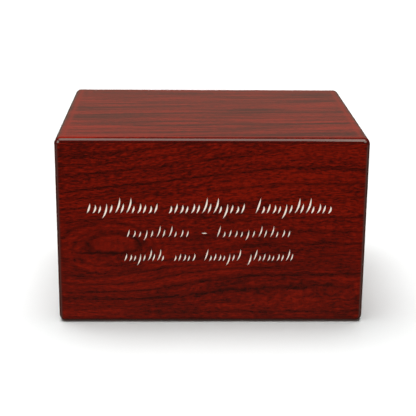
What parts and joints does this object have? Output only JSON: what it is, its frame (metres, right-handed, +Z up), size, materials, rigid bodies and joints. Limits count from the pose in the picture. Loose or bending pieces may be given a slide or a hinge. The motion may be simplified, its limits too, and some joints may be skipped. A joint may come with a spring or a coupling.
{
  "type": "cremation urn box",
  "caption": "Rectangular cremation urn of lacquered wood-grain boards with rounded edges, an engraved inscription area on its front, and a base panel screwed up into a recess.",
  "frame": {"origin": "middle of the underside, on the surface that the urn stands on", "axes": "+Z up; the inscribed front faces -Y; +X towards the right side as seen from the front"},
  "size_m": [0.225, 0.182, 0.14],
  "materials": {
    "lacquered_board": "fibreboard faced with reddish cherry grain under a clear high-gloss lacquer; rounded edges in a plain dark red stain; engraving filled with matte cream paint",
    "inscription_paint": "matte cream paint that fills the engraved strokes",
    "base_board": "fibreboard sealed with a thin satin dark red-brown stain",
    "screw_steel": "satin yellow zinc-plated steel"
  },
  "bodies": {
    "root": {"front_panel": "lacquered_board", "back_panel": "lacquered_board", "left_side_panel": "lacquered_board", "right_side_panel": "lacquered_board", "top_panel": "lacquered_board", "base_panel": "base_board", "screw_front_left": "screw_steel", "screw_front_right": "screw_steel", "screw_back_left": "screw_steel", "screw_back_right": "screw_steel"}
  },
  "joints": []
}
